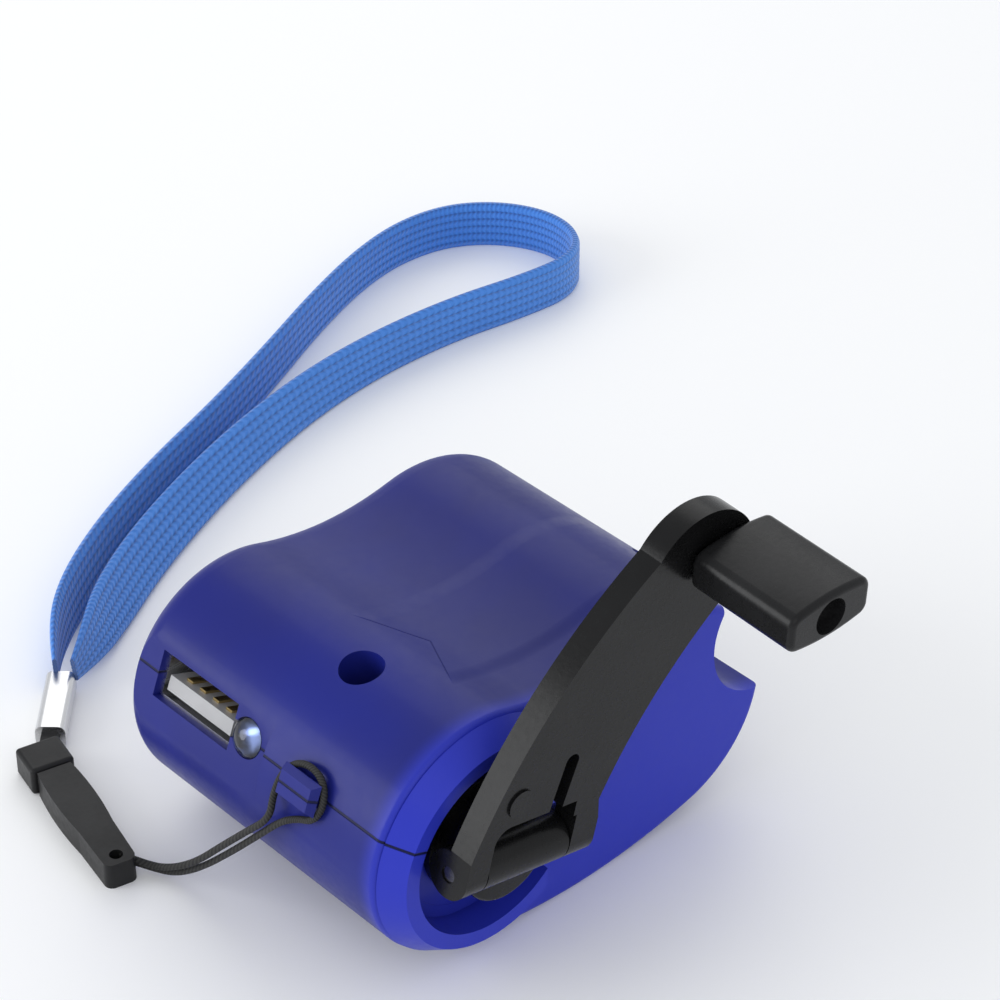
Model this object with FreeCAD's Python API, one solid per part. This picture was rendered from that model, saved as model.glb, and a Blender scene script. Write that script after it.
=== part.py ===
import FreeCAD, Part
import math
import os
from FreeCAD import Vector

# Hand crank phone charger. Lengths are millimetres.
# The model is drawn about the crank axis: X runs to the rear, Y runs inward from the crank side, Z is up.
# Every piece is moved at the end so that the origin is the middle of the flat that the case stands on.

# Case
front_radius = 14.8
hump_radius = 16.7
hump_x = 28.0
hump_z = -3.1
saddle_radius = 37.0
rear_radius = 14.2
rear_turn = 46.0
belly_radius = 70.0
table_z = -17.0
crank_face_y = 2.8
case_end_y = 46.2
wall = 1.8
end_round = 3.2
crank_side_round = 1.0

# Longer than the case any way, for cutting right through
cut_reach = 90.0

# Rear notch that takes the folded knob
notch_x = 44.7
notch_z = 5.2
notch_radius = 8.9
notch_end_y = 19.0
notch_round = 2.0

# Parting surface, which the ports sit on
port_tilt = 21.5
parting_rise = 0.9
parting_back_x = 29.5
parting_back_z = 0.1
parting_front_x = 11.0
parting_back_slope = 0.36

# Collar and recess round the crank
collar_front_radius = 12.8
collar_base_radius = 14.57
collar_bore = 9.6
collar_mouth = 10.8
collar_mouth_depth = 0.9
collar_open_x = 7.6
recess_floor_y = 3.9
recess_wall_y = 5.5
recess_boss_radius = 11.2

# Ports on the front facet
facet_depth = 14.0
facet_start_y = 22.4
facet_half_height = 4.9
facet_top = 8.0
usb_y = 35.1
usb_width = 13.1
usb_height = 5.7
usb_length = 14.0
usb_metal = 0.35
usb_tongue_width = 11.1
usb_tongue_thickness = 1.85
usb_tongue_length = 8.9
usb_tongue_drop = 0.1
usb_contact_pitch = 2.3
usb_contact_width = 1.0
usb_contact_thickness = 0.3
usb_block_length = 3.6
usb_round = 0.5
usb_window_spread = 3.1
usb_window_width = 2.6
usb_window_start = 3.2
usb_window_end = 7.6
lamp_y = 26.1
lamp_radius = 2.25
lamp_flange_radius = 2.65
lamp_flange_length = 1.0
lamp_length = 6.0
lamp_proud = 1.1
lamp_gap = 0.1
lead_width = 0.5
lead_pitch = 2.54
lead_bend = 1.5

# Lanyard lug
lug_y = 15.0
lug_width = 5.8
lug_neck_width = 4.2
lug_height = 3.8
lug_neck_height = 2.4
lug_reach = 2.9
lug_head = 1.0

# String that joins the lug to the clip, and the clip, which lie on the table
string_radius = 0.4
string_loop_reach = 15.35
clip_height = 3.4
clip_tongue_width = 4.2
clip_bulge_width = 4.9
clip_tongue_start = 5.2
clip_tongue_end = 24.2
clip_socket_width = 5.5
clip_socket_length = 5.0
clip_hole_radius = 0.8
clip_neck_width = 2.0
clip_neck_height = 1.6
clip_neck_grip = 2.0
clip_neck_reach = 2.6
clip_socket_height = 3.7
clip_round = 0.5
clip_waist = 17.0
clip_tongue_taper = 0.2
clip_hole_x = 22.6

# Strap, a flat band that stands on its edge, and its crimp
strap_width = 7.0
strap_thickness = 1.3
ferrule_width = 3.6
ferrule_height = 3.2
ferrule_length = 10.6
ferrule_round = 0.9

# Screw that closes the case
screw_x = -2.4
screw_y = 18.7
screw_hole_radius = 2.55
screw_tube_wall = 1.1
screw_seat_z = 4.4
screw_head_radius = 2.2
screw_head_height = 1.6
screw_shank_radius = 1.1
screw_length = 10.0

# Crank, drawn flat in its own axes: u along the hinge, v along the arm, w outward
hinge_y = -2.5
hinge_rise = 1.1
hinge_slope = -11.5
arm_lean = 2.7
eye_radius = 2.85
arm_thickness = 3.1
leg_left = -9.6
leg_right = 9.2
knuckle_left = -6.4
knuckle_right = 5.4
hinge_gap = 0.15
pin_radius = 0.9
pin_clearance = 0.05
window_top = 6.2
window_round = 2.0
window_step = 0.5
slot_width = 1.9
slot_low_u = 1.6
slot_top_u = 2.8
slot_top_v = 12.0
arm_boss_u = -4.0
arm_boss_v = 9.0
arm_boss_radius = 1.7
arm_boss_height = 0.25
knob_u = 19.9
knob_v = 33.7
knob_length = 14.5
knob_width = 11.7
knob_thickness = 5.7
knob_end_thickness = 4.3
knob_turn = 11.5
knob_gap = 0.35
knob_side_round = 1.4
knob_end_round = 0.7
knob_axle_radius = 1.5
knob_recess_radius = 2.15
knob_recess_depth = 4.0
axle_head_radius = 2.0
axle_head_height = 1.2
axle_head_gap = 0.15
pin_end_gap = 0.2

# Hub
disc_radius = 9.2
disc_front_y = 0.9
disc_back_y = 3.6
disc_round = 0.5
trough_gap = 0.3
hub_bore_start_y = 4.6
hub_screw_radius = 1.0
hub_screw_head_radius = 3.4
hub_screw_head_height = 1.2
shaft_radius = 3.0
shaft_end_y = 10.6
bush_radius = 4.6
running_gap = 0.08

# Gear train, seen from the crank side
module_crank = 0.5
module_fine = 0.4
pressure_angle = 25.0
tooth_backlash = 0.07
crank_teeth = 44
pinion_teeth = 12
wheel_teeth = 36
first_axle_angle = -28.0
crank_wheel_front_y = 6.0
crank_wheel_width = 2.6
wheel_collar_radius = 5.0
wheel_width = 2.0
stage_gap = 0.4
axle_radius = 0.75
axle_boss_radius = 1.9
wheel_running_gap = 0.06
sleeve_radius = 1.7
small_sleeve_radius = 1.5
sleeve_end_gap = 0.3
plate_front_y = 14.6
plate_thickness = 1.2
plate_gap = 0.15
plate_start_x = 1.8
post_radius = 1.2
post_places = ((29.0, 8.3), (29.5, -11.0), (9.6, 9.4))

# Motor, used as the generator
motor_x = 26.5
motor_z = -3.3
motor_radius = 9.0
motor_length = 21.2
motor_cap_length = 2.0
motor_shaft_radius = 0.75
motor_boss_radius = 3.0
motor_boss_length = 1.2
motor_bearing_length = 0.7
motor_round = 0.8
terminal_spread = 6.0
terminal_thickness = 0.5
terminal_width = 2.0
terminal_length = 1.6
cradle_width = 1.8
cradle_reach = 8.0
cradle_places = (21.3, 31.0)

# Circuit board and what stands on it
board_thickness = 1.2
board_front = 11.4
board_back = -13.0
board_y0 = 23.9
board_y1 = 41.9
capacitor_x = -6.5
capacitor_y = 2.5
capacitor_radius = 3.1
capacitor_height = 7.0
chip_x = 0.5
chip_y = -4.5
chip_length = 5.0
chip_width = 4.0
chip_height = 1.5
diode_x = 1.0
diode_y = 1.4
diode_pitch = 2.6
diode_length = 4.0
diode_width = 1.5
diode_height = 1.3
coil_x = -9.0
coil_y = -4.5
coil_radius = 2.6
coil_height = 3.0


def vec(x, y, z):
    return Vector(x, y, z)


def polar(cx, cz, radius, degrees):
    a = math.radians(degrees)
    return (cx + radius * math.cos(a), cz + radius * math.sin(a))


def circle_crossing(ax, az, ra, bx, bz, rb, upper=True):
    """Where two circles cross, on the upper or the lower side."""
    dx = bx - ax
    dz = bz - az
    gap = math.hypot(dx, dz)
    along = (ra * ra - rb * rb + gap * gap) / (2 * gap)
    height = math.sqrt(ra * ra - along * along)
    side = 1 if upper else -1
    x = ax + dx / gap * along - side * dz / gap * height
    z = az + dz / gap * along + side * dx / gap * height
    return (x, z)


def toward(cx, cz, radius, tx, tz):
    """The point on a circle that faces another point."""
    gap = math.hypot(tx - cx, tz - cz)
    return (cx + (tx - cx) / gap * radius, cz + (tz - cz) / gap * radius)


def arc_between(centre, radius, start, end, through):
    """An arc in the XZ plane from start to end, round the side that faces through."""
    mid = toward(centre[0], centre[1], radius, through[0], through[1])
    return Part.Arc(vec(start[0], 0, start[1]), vec(mid[0], 0, mid[1]), vec(end[0], 0, end[1])).toShape()


front = (0.0, 0.0)
hump = (hump_x, hump_z)
rear = polar(hump_x, hump_z, hump_radius - rear_radius, rear_turn)
saddle = circle_crossing(0, 0, front_radius + saddle_radius, hump_x, hump_z, hump_radius + saddle_radius)
belly = circle_crossing(0, 0, belly_radius - front_radius, rear[0], rear[1], belly_radius - rear_radius)


def case_outline(inset):
    """The side outline of the case, five tangent arcs, drawn in by inset."""
    rf = front_radius - inset
    rh = hump_radius - inset
    rs = saddle_radius + inset
    rr = rear_radius - inset
    rb = belly_radius - inset
    a = toward(0, 0, rf, saddle[0], saddle[1])
    b = toward(hump[0], hump[1], rh, saddle[0], saddle[1])
    c = polar(rear[0], rear[1], rr, rear_turn)
    away = (2 * rear[0] - belly[0], 2 * rear[1] - belly[1])
    d = toward(rear[0], rear[1], rr, away[0], away[1])
    e = toward(0, 0, rf, -belly[0], -belly[1])
    edges = [
        arc_between(saddle, rs, a, b, ((a[0] + b[0]) / 2, (a[1] + b[1]) / 2)),
        arc_between(hump, rh, b, c, (hump[0] + 4, hump[1] + 10)),
        arc_between(rear, rr, c, d, (rear[0] + 10, rear[1] - 2)),
        arc_between(belly, rb, d, e, ((d[0] + e[0]) / 2, (d[1] + e[1]) / 2)),
        arc_between(front, rf, e, a, (-1, 0.1)),
    ]
    return Part.Wire(edges)


def along_y(wire, y0, y1):
    solid = Part.Face(wire).extrude(vec(0, y1 - y0, 0))
    solid.translate(vec(0, y0, 0))
    return solid


def rod(radius, x, z, y0, y1):
    return Part.makeCylinder(radius, y1 - y0, vec(x, y0, z), vec(0, 1, 0))


def block(x0, x1, y0, y1, z0, z1):
    return Part.makeBox(x1 - x0, y1 - y0, z1 - z0, vec(x0, y0, z0))


def edges_at_y(shape, y):
    return [e for e in shape.Edges if abs(e.BoundBox.YMin - y) < 1e-4 and abs(e.BoundBox.YMax - y) < 1e-4]


# Axes of the front ports: x points out of the facet, y to the crank side, z up across it
tilt = math.radians(port_tilt)
out_dir = vec(-math.cos(tilt), 0, math.sin(tilt))
up_dir = vec(math.sin(tilt), 0, math.cos(tilt))

# Axes of the crank arm: x along the hinge, y along the arm, z outward
slope = math.radians(hinge_slope)
lean = math.radians(arm_lean)
hinge_dir = vec(math.cos(slope), 0, math.sin(slope))
rise_dir = vec(-math.sin(slope), 0, math.cos(slope))
arm_dir = rise_dir * math.cos(lean) + vec(0, -1, 0) * math.sin(lean)
face_dir = vec(0, -1, 0) * math.cos(lean) - rise_dir * math.sin(lean)
hinge_point = vec(0, hinge_y, 0) + rise_dir * hinge_rise


def on_axes(shape, origin, x_dir, y_dir, z_dir):
    moved = shape.copy()
    axes = FreeCAD.Placement(origin, FreeCAD.Rotation(x_dir, y_dir, z_dir, "XYZ"))
    moved.Placement = axes.multiply(moved.Placement)
    return moved


def on_port(shape, y):
    return on_axes(shape, up_dir * parting_rise + vec(0, y, 0), out_dir, vec(0, -1, 0), up_dir)


def on_arm(shape):
    return on_axes(shape, hinge_point, hinge_dir, arm_dir, face_dir)


def on_hub(shape):
    return on_axes(shape, hinge_point, hinge_dir, rise_dir, vec(0, -1, 0))


def box_about(x0, x1, y0, y1, z0, z1):
    return Part.makeBox(x1 - x0, y1 - y0, z1 - z0, vec(x0, y0, z0))


def pillow(width, thickness, end_thickness, length, corner):
    """A rounded bar whose wide faces are crowned, drawn about its axis from z = 0."""
    hw = width / 2
    he = end_thickness / 2
    ht = thickness / 2
    edges = [
        Part.Arc(vec(-hw, he, 0), vec(0, ht, 0), vec(hw, he, 0)).toShape(),
        Part.makeLine(vec(hw, he, 0), vec(hw, -he, 0)),
        Part.Arc(vec(hw, -he, 0), vec(0, -ht, 0), vec(-hw, -he, 0)).toShape(),
        Part.makeLine(vec(-hw, -he, 0), vec(-hw, he, 0)),
    ]
    bar = Part.Face(Part.Wire(edges)).extrude(vec(0, 0, length))
    upright = [e for e in bar.Edges if abs(e.BoundBox.ZLength - length) < 1e-4]
    return bar.makeFillet(corner, upright)


def gear(teeth, module, tooth_angle, x, z, y0, y1, bore):
    """A spur gear with near-involute teeth; one tooth points at tooth_angle."""
    pitch = teeth * module / 2
    base = pitch * math.cos(math.radians(pressure_angle))
    tip = pitch + 0.9 * module
    root = pitch - 1.15 * module
    half_at_pitch = math.pi / (2 * teeth) - tooth_backlash / 2 / pitch

    def roll(radius):
        if radius <= base:
            return 0.0
        t = math.acos(base / radius)
        return math.tan(t) - t

    reach = roll(pitch)
    radii = [root, max(base, root + 0.02), (max(base, root) + tip) / 2, tip]
    halves = [half_at_pitch + reach - roll(r) for r in radii]
    points = []
    for k in range(teeth):
        middle = math.radians(tooth_angle) + 2 * math.pi * k / teeth
        for r, half in zip(radii, halves):
            points.append(vec(r * math.cos(middle - half), 0, r * math.sin(middle - half)))
        for r, half in reversed(list(zip(radii, halves))):
            points.append(vec(r * math.cos(middle + half), 0, r * math.sin(middle + half)))
    wire = Part.makePolygon(points + [points[0]])
    solid = Part.Face(wire).extrude(vec(0, y1 - y0, 0))
    solid.translate(vec(x, y0, z))
    return solid.cut(rod(bore, x, z, y0 - 1, y1 + 1))


def make_case():
    """The outer form of the case, its hollow, and the region above the parting surface."""
    outer = along_y(case_outline(0), crank_face_y, case_end_y)
    outer = outer.makeFillet(end_round, edges_at_y(outer, case_end_y))
    outer = outer.makeFillet(crank_side_round, edges_at_y(outer, crank_face_y))
    collar = Part.makeCone(collar_front_radius, collar_base_radius, crank_face_y, vec(0, 0, 0), vec(0, 1, 0))
    collar = collar.cut(block(collar_open_x, cut_reach, -1, crank_face_y + 1, -cut_reach, cut_reach))
    seat = rod(front_radius - crank_side_round, 0, 0, crank_face_y, crank_face_y + wall)
    outer = outer.fuse([collar, seat]).removeSplitter()
    outer = outer.cut(block(-cut_reach, cut_reach, -cut_reach, cut_reach, -cut_reach, table_z))
    notch = rod(notch_radius, notch_x, notch_z, -cut_reach, notch_end_y)
    notch = notch.makeFillet(notch_round, edges_at_y(notch, notch_end_y))
    outer = outer.cut(notch)
    facet = box_about(facet_depth, cut_reach, -cut_reach, 0, -facet_half_height - parting_rise, facet_top)
    outer = outer.cut(on_port(facet, facet_start_y))
    hollow = along_y(case_outline(wall), crank_face_y + wall, case_end_y - wall)
    hollow = hollow.cut(rod(notch_radius + wall, notch_x, notch_z, -cut_reach, notch_end_y + wall))
    hollow = hollow.cut(rod(recess_boss_radius, 0, 0, 0, recess_wall_y))
    x0 = -cut_reach
    x1 = cut_reach
    slope_front = math.tan(tilt)
    knee_z = parting_rise / math.cos(tilt) - parting_front_x * slope_front
    corners = [
        vec(x0, 0, knee_z + (parting_front_x - x0) * slope_front),
        vec(parting_front_x, 0, knee_z),
        vec(parting_back_x, 0, parting_back_z),
        vec(x1, 0, parting_back_z - (x1 - parting_back_x) * parting_back_slope),
        vec(x1, 0, cut_reach),
        vec(x0, 0, cut_reach),
    ]
    upper_region = along_y(Part.makePolygon(corners + [corners[0]]), -cut_reach, cut_reach)
    return outer, hollow, upper_region


def motor_cradles(hollow):
    """Two ribs across the case that hold the motor's can."""
    ribs = []
    for y in cradle_places:
        slab = block(motor_x - cradle_reach, motor_x + cradle_reach, y, y + cradle_width, -cut_reach, cut_reach)
        ribs.append(slab.common(hollow).cut(rod(motor_radius, motor_x, motor_z, 0, cut_reach)))
    return ribs


def cross_wire(x, width, height):
    y = width / 2
    z = height / 2
    corners = [vec(x, -y, -z), vec(x, y, -z), vec(x, y, z), vec(x, -y, z)]
    return Part.makePolygon(corners + [corners[0]])


def make_lug():
    """A neck for the string and a head that keeps it on, tapered at its tip."""
    head_x = facet_depth + lug_reach - lug_head
    tip_x = facet_depth + lug_reach
    neck = box_about(facet_depth - wall, head_x, -lug_neck_width / 2, lug_neck_width / 2,
                     -lug_neck_height / 2, lug_neck_height / 2)
    head = Part.makeLoft([cross_wire(head_x, lug_width, lug_height),
                          cross_wire(tip_x, lug_width - lug_head, lug_height - lug_head)], True, True)
    return on_port(neck.fuse(head), lug_y)


def shells():
    outer, hollow, upper_region = make_case()
    body = outer.cut(hollow)
    body = body.fuse(motor_cradles(hollow))
    body = body.fuse(make_lug())
    column = Part.makeCylinder(screw_hole_radius + screw_tube_wall, 2 * cut_reach, vec(screw_x, screw_y, -cut_reach))
    column = column.common(hollow)
    axle_bosses = []
    for x, z in (first_axle, second_axle):
        axle_bosses.append(rod(axle_boss_radius, x, z, crank_face_y + wall, crank_wheel_front_y - stage_gap / 2))
    body = body.fuse([column] + axle_bosses)
    body = body.cut(rod(collar_bore, 0, 0, -1, recess_floor_y))
    mouth = Part.makeCone(collar_mouth, collar_bore, collar_mouth_depth, vec(0, 0, 0), vec(0, 1, 0))
    body = body.cut(mouth)
    body = body.cut(rod(bush_radius, 0, 0, -1, recess_wall_y + 1))
    body = body.cut(Part.makeCylinder(screw_hole_radius, cut_reach, vec(screw_x, screw_y, screw_seat_z)))
    pilot = Part.makeCylinder(screw_shank_radius, screw_length, vec(screw_x, screw_y, screw_seat_z - screw_length))
    body = body.cut(pilot)
    for x, z in (first_axle, second_axle):
        body = body.cut(rod(axle_radius, x, z, crank_face_y + wall, crank_wheel_front_y))
    body = body.cut(on_port(box_about(facet_depth - 2 * wall, cut_reach, -usb_width / 2, usb_width / 2,
                                      -usb_height / 2, usb_height / 2), usb_y))
    hole = Part.makeCylinder(lamp_radius + lamp_gap, cut_reach, vec(facet_depth - 2 * wall, 0, 0), vec(1, 0, 0))
    bridge = box_about(facet_depth - 2 * wall, cut_reach, lamp_y - usb_y, 0, -lamp_radius / 2, lamp_radius / 2)
    body = body.cut(on_port(hole.fuse(bridge), lamp_y))
    return body.common(upper_region), body.cut(upper_region)


# Gear places
first_axle = polar(0, 0, (crank_teeth + pinion_teeth) * module_crank / 2, first_axle_angle)
fine_distance = (wheel_teeth + pinion_teeth) * module_fine / 2
second_axle = circle_crossing(first_axle[0], first_axle[1], fine_distance, motor_x, motor_z, fine_distance)


def heading(a, b):
    return math.degrees(math.atan2(b[1] - a[1], b[0] - a[0]))


def gear_train():
    """The crank wheel, two compound gears and the motor pinion, each in mesh with the next."""
    nodes = {}
    y1 = crank_wheel_front_y
    y2 = y1 + crank_wheel_width
    wheel1_y0 = y2 + stage_gap
    wheel1_y1 = wheel1_y0 + wheel_width
    wheel2_y0 = wheel1_y1 + stage_gap
    wheel2_y1 = wheel2_y0 + wheel_width
    free = axle_radius + wheel_running_gap
    ab = heading(front, first_axle)
    bc = heading(first_axle, second_axle)
    motor = (motor_x, motor_z)
    cd = heading(second_axle, motor)
    wheel = gear(crank_teeth, module_crank, ab, 0, 0, y1, y2, shaft_radius)
    collar = rod(wheel_collar_radius, 0, 0, y2, shaft_end_y).cut(rod(shaft_radius, 0, 0, y1, cut_reach))
    nodes["crank_gear"] = wheel.fuse(collar)
    x, z = first_axle
    pinion = gear(pinion_teeth, module_crank, ab + 180 + 180.0 / pinion_teeth, x, z, y1, wheel1_y0, free)
    big = gear(wheel_teeth, module_fine, bc, x, z, wheel1_y0, wheel1_y1, free)
    sleeve_end = plate_front_y - sleeve_end_gap
    sleeve = rod(sleeve_radius, x, z, wheel1_y1, sleeve_end).cut(rod(free, x, z, 0, cut_reach))
    nodes["first_reduction_gear"] = pinion.fuse([big, sleeve])
    x, z = second_axle
    pinion = gear(pinion_teeth, module_fine, bc + 180 + 180.0 / pinion_teeth, x, z, wheel1_y0, wheel2_y0, free)
    big = gear(wheel_teeth, module_fine, cd, x, z, wheel2_y0, wheel2_y1, free)
    sleeve = rod(small_sleeve_radius, x, z, y1, wheel1_y0).fuse(rod(sleeve_radius, x, z, wheel2_y1, sleeve_end))
    sleeve = sleeve.cut(rod(free, x, z, 0, cut_reach))
    nodes["second_reduction_gear"] = pinion.fuse([big, sleeve])
    nodes["motor_pinion"] = gear(pinion_teeth, module_fine, cd + 180 + 180.0 / pinion_teeth, motor_x, motor_z,
                                 wheel2_y0 - stage_gap / 2, wheel2_y1 + stage_gap / 2, motor_shaft_radius)
    for name, (x, z) in (("first_gear_axle", first_axle), ("second_gear_axle", second_axle)):
        nodes[name] = rod(axle_radius, x, z, crank_face_y + wall, plate_front_y + plate_thickness)
    return nodes


def gear_plate(hollow):
    y0 = plate_front_y
    y1 = plate_front_y + plate_thickness
    plate = along_y(case_outline(wall + plate_gap), y0, y1)
    plate = plate.cut(rod(notch_radius + wall + plate_gap, notch_x, notch_z, 0, cut_reach))
    plate = plate.cut(block(-cut_reach, plate_start_x, 0, cut_reach, -cut_reach, cut_reach))
    for x, z in post_places:
        plate = plate.fuse(rod(post_radius, x, z, crank_face_y + wall, y0))
    for x, z in (first_axle, second_axle):
        plate = plate.cut(rod(axle_radius, x, z, y0 - 1, y1 + 1))
    return plate.cut(rod(motor_boss_radius, motor_x, motor_z, y0 - 1, y1 + 1))


def motor():
    y0 = plate_front_y + plate_thickness
    y1 = y0 + motor_length
    can = rod(motor_radius, motor_x, motor_z, y0, y1)
    can = can.makeFillet(motor_round, edges_at_y(can, y0))
    can = can.fuse(rod(motor_boss_radius, motor_x, motor_z, y0 - motor_boss_length, y0))
    y2 = y1 + motor_cap_length
    cap = rod(motor_radius - motor_round, motor_x, motor_z, y1, y2)
    cap = cap.fuse(rod(motor_boss_radius, motor_x, motor_z, y2, y2 + motor_bearing_length))
    terminals = []
    for side in (-1, 1):
        x = motor_x + side * terminal_spread
        terminals.append(block(x - terminal_thickness / 2, x + terminal_thickness / 2, y2, y2 + terminal_length,
                               motor_z - terminal_width / 2, motor_z + terminal_width / 2))
    terminals = Part.makeCompound(terminals)
    bore = rod(motor_shaft_radius + running_gap, motor_x, motor_z, 0, cut_reach)
    shaft_start = crank_wheel_front_y + crank_wheel_width + wheel_width + stage_gap
    shaft = rod(motor_shaft_radius, motor_x, motor_z, shaft_start, y2 + motor_bearing_length)
    return {"motor_can": can.cut(bore), "motor_end_cap": cap.cut(bore), "motor_terminals": terminals,
            "motor_shaft": shaft}


def bar_along_hinge(radius):
    return Part.makeCylinder(radius, cut_reach, vec(-cut_reach / 2, 0, 0), vec(1, 0, 0))


def crank_hub():
    disc = rod(disc_radius, 0, 0, disc_front_y, disc_back_y)
    disc = disc.makeFillet(disc_round, edges_at_y(disc, disc_front_y))
    shaft = rod(shaft_radius, 0, 0, disc_back_y, shaft_end_y)
    barrel = Part.makeCylinder(eye_radius, knuckle_right - knuckle_left, vec(knuckle_left, 0, 0), vec(1, 0, 0))
    web_root = hinge_y - disc_front_y - disc_round
    web = box_about(knuckle_left, knuckle_right, -eye_radius, eye_radius, web_root, 0)
    tongue = on_hub(barrel.fuse(web))
    hub = disc.fuse([shaft, tongue])
    trough = bar_along_hinge(eye_radius + trough_gap)
    keep = box_about(knuckle_left, knuckle_right, -disc_radius, disc_radius, -disc_radius, disc_radius)
    hub = hub.cut(on_hub(trough.cut(keep)))
    hub = hub.cut(on_hub(bar_along_hinge(pin_radius)))
    return hub.cut(rod(hub_screw_radius, 0, 0, hub_bore_start_y, cut_reach))


def arm_outline():
    """The broad face of the arm: straight legs, then a banana that ends in a rounded tip."""
    p = [
        vec(leg_left, 0, 0),
        vec(leg_left, 3.0, 0),
        vec(-3.6, 17.8, 0),
        vec(9.6, 34.6, 0),
        vec(15.9, 38.9, 0),
        vec(23.2, 35.4, 0),
        vec(24.0, 31.0, 0),
        vec(21.6, 27.4, 0),
        vec(12.4, 14.4, 0),
        vec(8.6, 5.2, 0),
        vec(leg_right, 2.6, 0),
        vec(leg_right, 0, 0),
    ]
    edges = [
        Part.makeLine(p[0], p[1]),
        Part.Arc(p[1], p[2], p[3]).toShape(),
        Part.Arc(p[3], p[4], p[5]).toShape(),
        Part.Arc(p[5], p[6], p[7]).toShape(),
        Part.Arc(p[7], p[8], p[9]).toShape(),
        Part.makeLine(p[9], p[10]),
        Part.makeLine(p[10], p[11]),
        Part.makeLine(p[11], p[0]),
    ]
    return Part.Wire(edges)


def crank_arm():
    w1 = eye_radius
    w0 = eye_radius - arm_thickness
    slab = Part.Face(arm_outline()).extrude(vec(0, 0, arm_thickness))
    slab.translate(vec(0, 0, w0))
    eyes = Part.makeCylinder(eye_radius, leg_right - leg_left, vec(leg_left, 0, 0), vec(1, 0, 0))
    arm = slab.fuse(eyes)
    left = knuckle_left - hinge_gap
    right = knuckle_right + hinge_gap
    deep = 2 * eye_radius
    window = box_about(left, right, -deep, window_top - window_round, -deep, deep)
    window = window.fuse(box_about(left + window_round, right - window_step, 0, window_top, -deep, deep))
    corner = vec(left + window_round, window_top - window_round, -deep)
    window = window.fuse(Part.makeCylinder(window_round, 2 * deep, corner))
    slot_top = vec(slot_top_u, slot_top_v, -deep)
    slot_low = vec(slot_low_u, window_top - slot_width, -deep)
    slot = Part.makeCylinder(slot_width / 2, 2 * deep, slot_top)
    run = slot_top - slot_low
    across = vec(-run.y, run.x, 0).normalize() * (slot_width / 2)
    ring = [slot_low - across, slot_low + across, slot_top + across, slot_top - across]
    slot = slot.fuse(Part.Face(Part.makePolygon(ring + [ring[0]])).extrude(vec(0, 0, 2 * deep)))
    arm = arm.cut(window.fuse(slot))
    arm = arm.fuse(Part.makeCylinder(arm_boss_radius, arm_boss_height, vec(arm_boss_u, arm_boss_v, w1)))
    arm = arm.cut(bar_along_hinge(pin_radius + pin_clearance))
    arm = arm.cut(Part.makeCylinder(knob_axle_radius, 2 * deep, vec(knob_u, knob_v, -deep)))
    return on_arm(arm)


def knob():
    bar = pillow(knob_width, knob_thickness, knob_end_thickness, knob_length, knob_side_round)
    ends = [e for e in bar.Edges if e.BoundBox.ZLength < 1e-4]
    bar = bar.makeFillet(knob_end_round, ends)
    bar = bar.cut(Part.makeCylinder(knob_axle_radius + running_gap, cut_reach, vec(0, 0, -1)))
    bar = bar.cut(Part.makeCylinder(knob_recess_radius, cut_reach, vec(0, 0, knob_length - knob_recess_depth)))
    bar.rotate(vec(0, 0, 0), vec(0, 0, 1), knob_turn)
    bar.translate(vec(knob_u, knob_v, eye_radius + knob_gap))
    return on_arm(bar)


def knob_axle():
    z0 = eye_radius - arm_thickness
    top = eye_radius + knob_gap + knob_length - knob_recess_depth + axle_head_gap
    axle = Part.makeCylinder(knob_axle_radius, top - z0, vec(knob_u, knob_v, z0))
    axle = axle.fuse(Part.makeCylinder(axle_head_radius, axle_head_height, vec(knob_u, knob_v, top)))
    return on_arm(axle)


def hinge_pin():
    length = leg_right - leg_left - 2 * pin_end_gap
    return on_arm(Part.makeCylinder(pin_radius, length, vec(leg_left + pin_end_gap, 0, 0), vec(1, 0, 0)))


def usb_socket():
    front_x = facet_depth
    w = usb_width / 2
    h = usb_height / 2
    m = usb_metal
    shell = box_about(front_x - usb_length, front_x, -w, w, -h, h)
    shell = shell.makeFillet(usb_round, [e for e in shell.Edges if abs(e.BoundBox.XLength - usb_length) < 1e-4])
    inside = box_about(front_x - usb_length + m, front_x + 1, -w + m, w - m, -h + m, h - m)
    shell = shell.cut(inside)
    for side in (-1, 1):
        for level in (-1, 1):
            y = side * usb_window_spread
            shell = shell.cut(box_about(front_x - usb_window_end, front_x - usb_window_start, y - usb_window_width / 2,
                                        y + usb_window_width / 2, level * h - 2 * m, level * h + 2 * m))
    top = h - m - usb_tongue_drop
    tongue_x = front_x - usb_length + usb_block_length
    back_block = box_about(front_x - usb_length + m, tongue_x, -w + m, w - m, -h + m, h - m)
    tongue = box_about(tongue_x, tongue_x + usb_tongue_length, -usb_tongue_width / 2, usb_tongue_width / 2,
                       top - usb_tongue_thickness, top)
    tongue = back_block.fuse(tongue)
    contacts = []
    for k in range(4):
        y = (k - 1.5) * usb_contact_pitch
        contacts.append(box_about(tongue_x, tongue_x + usb_tongue_length - 1, y - usb_contact_width / 2,
                                  y + usb_contact_width / 2, top - usb_tongue_thickness - usb_contact_thickness,
                                  top - usb_tongue_thickness))
    return {"usb_shell": on_port(shell, usb_y), "usb_tongue": on_port(tongue, usb_y),
            "usb_contacts": on_port(Part.makeCompound(contacts), usb_y)}


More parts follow.
